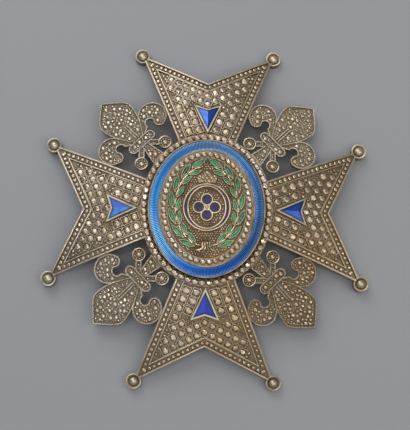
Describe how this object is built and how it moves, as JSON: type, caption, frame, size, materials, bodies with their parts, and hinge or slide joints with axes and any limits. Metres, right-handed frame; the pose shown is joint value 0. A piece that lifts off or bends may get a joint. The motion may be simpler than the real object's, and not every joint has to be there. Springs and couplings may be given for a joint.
{
  "type": "breast star",
  "caption": "Vaulted four-armed silver breast star with pierced lilies between the arms and an oval enamelled medallion, worn pinned to a coat.",
  "frame": {"origin": "the middle of the star on the surface that it lies on, straight under the middle of the medallion", "axes": "+Z out of the star's face, +Y to the arm that is worn uppermost, +X to the right arm as the star is looked at"},
  "size_m": [0.076, 0.0814, 0.0103],
  "materials": {
    "tarnished_silver": "tarnished silver, satin",
    "cut_silver": "cut and worn silver, bright edges",
    "lily_silver": "tarnished silver with an olive tint",
    "pale_gold": "worn pale gilding",
    "medallion_gold": "granulated gilding, dull",
    "blue_enamel": "glossy translucent enamel over engraving",
    "green_enamel": "glossy enamel",
    "purple_enamel": "glossy enamel"
  },
  "bodies": {
    "root": {"cross": "tarnished_silver", "studs_top": "cut_silver", "studs_right": "cut_silver", "studs_bottom": "cut_silver", "studs_left": "cut_silver", "arrow_bezel_top": "pale_gold", "arrow_bezel_right": "pale_gold", "arrow_bezel_bottom": "pale_gold", "arrow_bezel_left": "pale_gold", "arrow_enamel_top": "blue_enamel", "arrow_enamel_right": "blue_enamel", "arrow_enamel_bottom": "blue_enamel", "arrow_enamel_left": "blue_enamel", "lily_top_right": "lily_silver", "lily_top_left": "lily_silver", "lily_bottom_left": "lily_silver", "lily_bottom_right": "lily_silver", "outer_beads": "cut_silver", "medallion_plate": "medallion_gold", "enamel_band": "blue_enamel", "inner_beads": "cut_silver", "wreath_stems": "pale_gold", "wreath_leaves_left": "green_enamel", "wreath_leaves_right": "green_enamel", "crown": "pale_gold", "oval_ring": "pale_gold", "oval_ring_enamel": "purple_enamel", "rosette": "pale_gold", "rosette_enamel": "purple_enamel", "brooch_pin": "tarnished_silver"}
  },
  "joints": []
}
